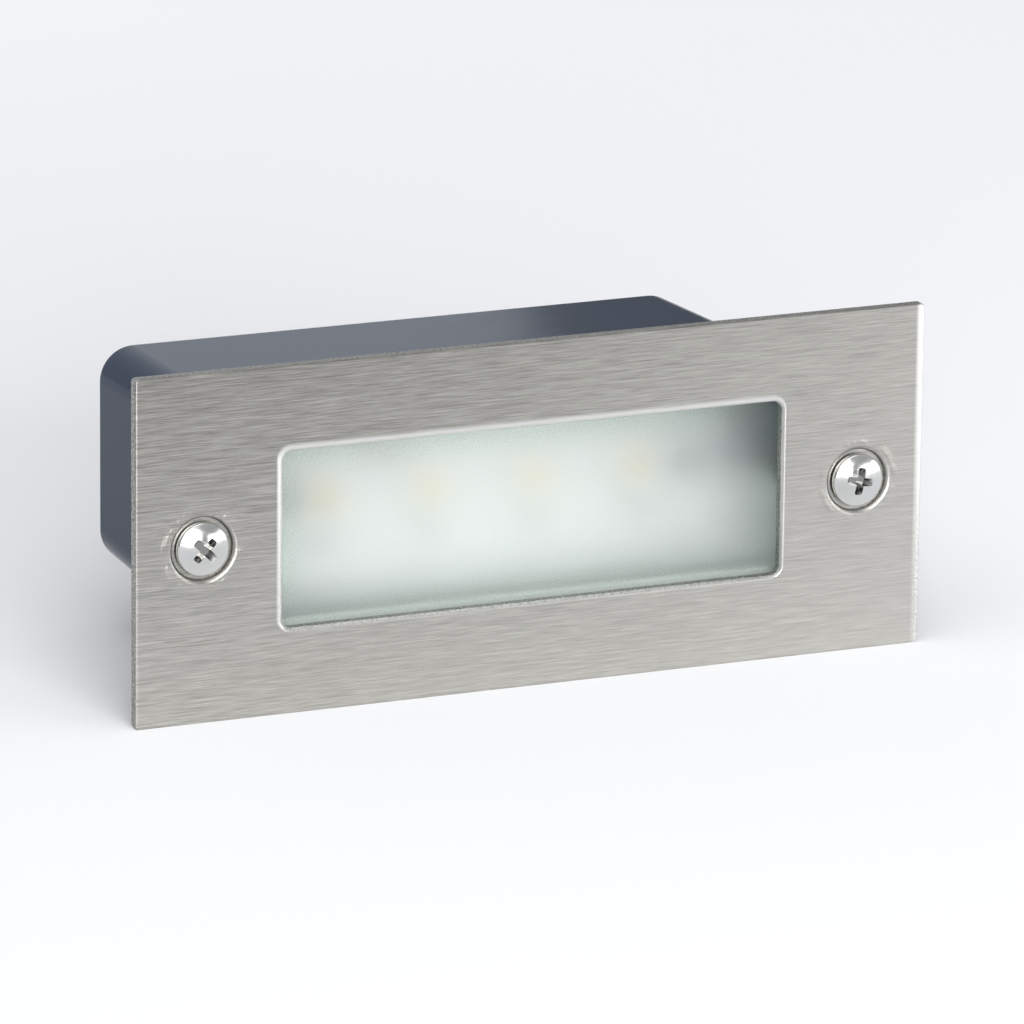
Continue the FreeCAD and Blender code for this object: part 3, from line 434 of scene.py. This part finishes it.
# ---- Window glass ----------------------------------------------------------------------------
# 4 mm float glass, acid etched, so that what lies behind it is blurred. Its edges have the green
# of ordinary glass and a painted shade, and the etched grain shows where there is something dark
# behind it.

window_half = Vector((0.038, 0.0, 0.0127))
tint_and_shade_margin = 0.006
# The etched grain is about 0.2 mm across. It is drawn a little coarser, so that it shows.
drawn_etch_mm = 0.278

etched, tree, place = material("etched_float_glass")
grain = add(tree, "TexNoise", {"Vector": place, "Scale": 1000 / drawn_etch_mm, "Detail": 3.0,
                               "Roughness": 0.7})
relief = add(tree, "Bump", {"Height": grain, "Distance": 0.00002})
# The glass is greenest near the window's edges, where light crosses more of it, and its haze is
# drawn darker there as painted shade.
spread = add(tree, "VectorMath", {0: place}, operation="ABSOLUTE")
beyond = add(tree, "VectorMath", {0: spread, 1: window_half}, operation="SUBTRACT")
beyond = add(tree, "SeparateXYZ", {"Vector": beyond}).outputs
inward = add(tree, "Math", {0: beyond["X"], 1: beyond["Z"]}, operation="MAXIMUM")
edge_tint_and_shade = add(tree, "MapRange", {"Value": inward, "From Min": -tint_and_shade_margin, "From Max": 0.0},
           interpolation_type="SMOOTHSTEP")
tint = add(tree, "Mix", {"Factor": edge_tint_and_shade, 6: linear("#E3E5E5"), 7: linear("#E0E7E4")},
           data_type="RGBA").outputs[2]
body = add(tree, "BsdfPrincipled", {"Base Color": tint, "Roughness": 0.4, "IOR": 1.5,
                                    "Transmission Weight": 1.0, "Normal": relief})
# Painted shade: the haze darkens towards the window's edges.
haze_with_painted_shade = add(tree, "Mix", {"Factor": edge_tint_and_shade, 6: linear("#E6ECED"), 7: linear("#C2CFCA")},
            data_type="RGBA").outputs[2]
haze = add(tree, "BsdfTranslucent", {"Color": haze_with_painted_shade})
# Single etched grains scatter more light than their neighbours.
scatter = add(tree, "MapRange", {"Value": grain, "From Min": 0.4, "From Max": 0.6,
                                 "To Min": 0.03, "To Max": 0.41})
frost = add(tree, "MixShader", {"Fac": scatter, 1: body, 2: haze})
# Light gets through to the lamp tray as if the glass were clear, which blurred glass would stop.
clear = add(tree, "BsdfTransparent", {"Color": linear("#FCFDFD")})
ray = add(tree, "LightPath").outputs["Is Shadow Ray"]
surface = add(tree, "MixShader", {"Fac": ray, 1: frost, 2: clear})
add(tree, "OutputMaterial", {"Surface": surface})
dress("window_glass", etched)

# ---- Glue bead and gaskets -------------------------------------------------------------------
# A silicone bead glues the glass to the plate and a thin silicone sheet seals the plate to the
# box, both drawn black as painted shade around the window's edges. A black foam strip seals the
# plate to the wall.

dress("glass_bead", grained("silicone_bead_painted_shade", ("#141516", "#1B1C1D"), 1.4, (0.35, 0.5),
                            0.03))
dress("face_gasket", grained("silicone_sheet_painted_shade", ("#1A1B1C", "#242526"), 0.8, (0.5, 0.62),
                             0.01))
dress("wall_gasket", grained("cellular_foam_black", ("#0D0D0D", "#1E1E1E"), 0.5, (0.8, 0.95),
                             0.12))

# ---- Faceplate -------------------------------------------------------------------------------
# 1.5 mm stainless steel, punched to size and then brushed along its length with an abrasive belt.
# The punch leaves the front's edges slightly rolled and the cut walls grey and grainy.

plate_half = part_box("faceplate")[1]
window_corner = 0.0013
# How far in from an edge the sheet is rolled, and how deep.
outer_roll = (0.0004, 0.00004)
right_roll = (0.0012, 0.00015)
window_roll = (0.0008, 0.0002)
# Between these distances from an edge, its painted highlight fades out.
window_highlight_reach = (0.0004, 0.0009)
right_highlight_reach = (0.0004, 0.0013)
rim_shift = 0.00025
ring_radius = 0.0056
ring_width = 0.0007
ring_height = 0.00006
ring_patch_mm = 2.22
scratch_depth = 0.000007
tear_depth = 0.00004
torn_grain_mm = 0.333
bow = 1.6
# Scratches are under 0.1 mm wide and a few millimetres long. Two sizes are drawn, both about
# twice as wide as they are, so that they show.
fine_scratch_mm = (4.76, 0.122, 0.122)
broad_scratch_mm = (9.09, 0.25, 0.25)

brushed, tree, place = material("brushed_stainless_steel")
along = add(tree, "Mapping", {"Vector": place, "Scale": [1000 / mm for mm in fine_scratch_mm]})
scratches = add(tree, "TexNoise", {"Vector": along, "Scale": 1.0, "Detail": 5.0,
                                   "Roughness": 0.7})
broad = add(tree, "Mapping", {"Vector": place, "Scale": [1000 / mm for mm in broad_scratch_mm]})
bands = add(tree, "TexNoise", {"Vector": broad, "Scale": 1.0, "Detail": 4.0,
                               "Roughness": 0.7})
streaks = add(tree, "Mix", {"Factor": 0.5, 2: scratches, 3: bands})
tone = add(tree, "ValToRGB", {"Fac": streaks}, stops=((0.38, "#868480"), (0.62, "#C9C7C1")))

# How far a place lies from the outer edges and from the window's edge. A highlight is painted
# along the window's edge and the right edge.
spot = add(tree, "SeparateXYZ", {"Vector": place}).outputs
flat = add(tree, "VectorMath", {0: place, 1: (1.0, 0.0, 1.0)}, operation="MULTIPLY")
spread = add(tree, "VectorMath", {0: flat}, operation="ABSOLUTE")
inside = add(tree, "VectorMath", {0: plate_half, 1: spread}, operation="SUBTRACT")
inside = add(tree, "SeparateXYZ", {"Vector": inside}).outputs
to_outer = add(tree, "Math", {0: inside["X"], 1: inside["Z"]}, operation="MINIMUM")
to_right = add(tree, "Math", {0: plate_half.x, 1: spot["X"]}, operation="SUBTRACT")
# The window's rim is shifted, so that it and its painted highlight are widest at its left and
# top.
window_core = window_half - Vector((window_corner, 0.0, window_corner))
past = flat
for operation, other in (("ADD", (rim_shift, 0.0, -rim_shift)), ("ABSOLUTE", (0.0, 0.0, 0.0)),
                         ("SUBTRACT", window_core), ("MAXIMUM", (0.0, 0.0, 0.0))):
    past = add(tree, "VectorMath", {0: past, 1: other}, operation=operation)
past = add(tree, "VectorMath", {0: past}, operation="LENGTH").outputs["Value"]
to_window = add(tree, "Math", {0: past, 1: window_corner}, operation="SUBTRACT")
# Painted highlight: a bright rim along the window's edge and the plate's right edge.
window_rim = add(tree, "MapRange", {"Value": to_window, "From Min": window_highlight_reach[0],
                                    "From Max": window_highlight_reach[1], "To Min": 1.0, "To Max": 0.0})
right_rim = add(tree, "MapRange", {"Value": to_right, "From Min": right_highlight_reach[0],
                                   "From Max": right_highlight_reach[1], "To Min": 1.0, "To Max": 0.0})
rim = add(tree, "Math", {0: window_rim, 1: right_rim}, operation="MAXIMUM")

# Painted light: the sheet is drawn lighter towards its lower edge and darker towards its upper
# edge.
painted_light_by_height = add(tree, "MapRange", {"Value": spot["Z"], "From Min": -plate_half.z,
                               "From Max": plate_half.z, "To Min": 1.24, "To Max": 0.76})
# Painted light: the streaks fade and the sheet is drawn lighter towards its lower right corner.
corner_reach = plate_half.x + 2 * plate_half.z
to_corner = add(tree, "Math", {0: spot["Z"], 1: -2.0, 2: spot["X"]}, operation="MULTIPLY_ADD")
painted_corner_light = add(tree, "MapRange", {"Value": to_corner, "From Min": -corner_reach,
                                "From Max": corner_reach, "To Max": 0.6})
corner_lit_tone = add(tree, "Mix", {"Factor": painted_corner_light, 6: tone, 7: linear("#C9C7C2")},
           data_type="RGBA").outputs[2]
steel = add(tree, "VectorMath", {0: corner_lit_tone, 1: painted_light_by_height}, operation="MULTIPLY")

# The walls left by the punch, found by the way they face, are torn and grey. The window's rim has
# a painted highlight, smooth at its top and grainy at its bottom.
facing = add(tree, "SeparateXYZ", {"Vector": add(tree, "TexCoord").outputs["Normal"]})
facing = add(tree, "Math", {0: facing.outputs["Y"]}, operation="ABSOLUTE")
wall = add(tree, "MapRange", {"Value": facing, "From Min": 0.45, "From Max": 0.25})
tear = add(tree, "TexNoise", {"Vector": place, "Scale": 1000 / torn_grain_mm, "Detail": 3.0,
                              "Roughness": 0.75})
torn = add(tree, "ValToRGB", {"Fac": tear}, stops=((0.4, "#74736F"), (0.66, "#D2D1CD")))
grainy_highlight = add(tree, "ValToRGB", {"Fac": tear}, stops=((0.36, "#CFCECA"), (0.56, "#FAF9F6")))
lower = add(tree, "MapRange", {"Value": spot["Z"], "From Max": -window_half.z})
highlight_tone = add(tree, "Mix", {"Factor": lower, 6: linear("#F7F6F3"), 7: grainy_highlight},
               data_type="RGBA").outputs[2]
# The painted highlight is laid over the steel here.
steel_with_highlight = add(tree, "Mix", {"Factor": rim, 6: steel, 7: highlight_tone}, data_type="RGBA").outputs[2]
colour = add(tree, "Mix", {"Factor": wall, 6: steel_with_highlight, 7: torn}, data_type="RGBA").outputs[2]
gloss = add(tree, "MapRange", {"Value": scratches, "From Min": 0.3, "From Max": 0.7,
                               "To Min": 0.30, "To Max": 0.42})
gloss = add(tree, "Math", {0: wall, 1: 0.12, 2: gloss}, operation="MULTIPLY_ADD")

# The front's relief, in metres: first the edges that the punch rolled over.
height = 0.0
for distance, (width, depth) in ((to_outer, outer_roll), (to_window, window_roll),
                                 (to_right, right_roll)):
    rolled = add(tree, "MapRange", {"Value": distance, "From Max": width, "To Min": -depth,
                                    "To Max": 0.0}, interpolation_type="SMOOTHSTEP")
    height = add(tree, "Math", {0: height, 1: rolled}, operation="ADD")

# The press leaves faint broken rings around the two screw seats.
screw_low, screw_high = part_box("left_face_screw")
seat_x = abs((screw_low.x + screw_high.x) / 2)
off_ring = add(tree, "VectorMath", {0: spread, 1: (seat_x, 0.0, 0.0)},
               operation="DISTANCE").outputs["Value"]
off_ring = add(tree, "Math", {0: off_ring, 1: ring_radius}, operation="SUBTRACT")
off_ring = add(tree, "Math", {0: off_ring}, operation="ABSOLUTE")
ring = add(tree, "MapRange", {"Value": off_ring, "From Max": ring_width, "To Min": 1.0,
                              "To Max": 0.0})
patches = add(tree, "TexNoise", {"Vector": place, "Scale": 1000 / ring_patch_mm,
                                 "Detail": 3.0})
broken = add(tree, "MapRange", {"Value": patches, "From Min": 0.42, "From Max": 0.6})
ring = add(tree, "Math", {0: ring, 1: broken}, operation="MULTIPLY")
# Then the grit of the torn walls and of the lower rim. Pressing leaves the sheet very slightly
# bowed outwards from its lower to its upper edge.
grit = add(tree, "Math", {0: window_rim, 1: lower, 2: wall}, operation="MULTIPLY_ADD")
grit = add(tree, "Math", {0: tear, 1: grit}, operation="MULTIPLY")
bulge = add(tree, "Math", {0: spot["Z"], 1: spot["Z"]}, operation="MULTIPLY")
for pattern, depth in ((ring, ring_height), (scratches, scratch_depth), (grit, tear_depth),
                       (bulge, -bow)):
    height = add(tree, "Math", {0: pattern, 1: depth, 2: height}, operation="MULTIPLY_ADD")
relief = add(tree, "Bump", {"Height": height, "Distance": 1.0})
across = add(tree, "CombineXYZ", {"Z": 1.0})
surface = add(tree, "BsdfPrincipled", {"Base Color": colour, "Metallic": 1.0, "Roughness": gloss,
                                       "Anisotropic": 0.7, "Tangent": across,
                                       "Normal": relief})
add(tree, "OutputMaterial", {"Surface": surface})
dress("faceplate", brushed)

# ---- Face screws and washers -----------------------------------------------------------------
# M4 raised-head screws in stainless steel, cold formed and polished, each on a black sealing
# ring. The polish leaves small dents, and the cross recess is drawn darker as painted shade.

sealing_rubber = grained("moulded_sealing_rubber", ("#101010", "#181818"), 0.6, (0.55, 0.7),
                         0.01)
dress("left_screw_washer", sealing_rubber)
dress("right_screw_washer", sealing_rubber)

recess_reach = 0.00235
recess_start = screw_low.y + 0.0004
recess_shade_depth = screw_low.y + 0.0008
dent_mm = 1.11

polished, tree, place = material("polished_stainless_steel")
dents = add(tree, "TexNoise", {"Vector": place, "Scale": 1000 / dent_mm, "Detail": 4.0})
flat = add(tree, "VectorMath", {0: place, 1: (1.0, 0.0, 1.0)}, operation="MULTIPLY")
spread = add(tree, "VectorMath", {0: flat}, operation="ABSOLUTE")
off_axis = add(tree, "VectorMath", {0: spread, 1: (seat_x, 0.0, 0.0)},
               operation="DISTANCE").outputs["Value"]
near_axis = add(tree, "Math", {0: off_axis, 1: recess_reach}, operation="LESS_THAN")
depth = add(tree, "SeparateXYZ", {"Vector": place}).outputs["Y"]
sunk = add(tree, "MapRange", {"Value": depth, "From Min": recess_start,
                              "From Max": recess_shade_depth})
painted_recess_shade = add(tree, "Math", {0: near_axis, 1: sunk}, operation="MULTIPLY")
# Painted shade: darker inside the cross recess.
tone = add(tree, "Mix", {"Factor": painted_recess_shade, 6: linear("#E6E6E4"), 7: linear("#A3A2A0")},
           data_type="RGBA").outputs[2]
gloss = add(tree, "MapRange", {"Value": dents, "From Min": 0.3, "From Max": 0.7,
                               "To Min": 0.12, "To Max": 0.22})
relief = add(tree, "Bump", {"Height": dents, "Distance": 0.00001})
surface = add(tree, "BsdfPrincipled", {"Base Color": tone, "Metallic": 1.0,
                                       "Roughness": gloss, "Normal": relief})
add(tree, "OutputMaterial", {"Surface": surface})
dress("left_face_screw", polished)
dress("right_face_screw", polished)
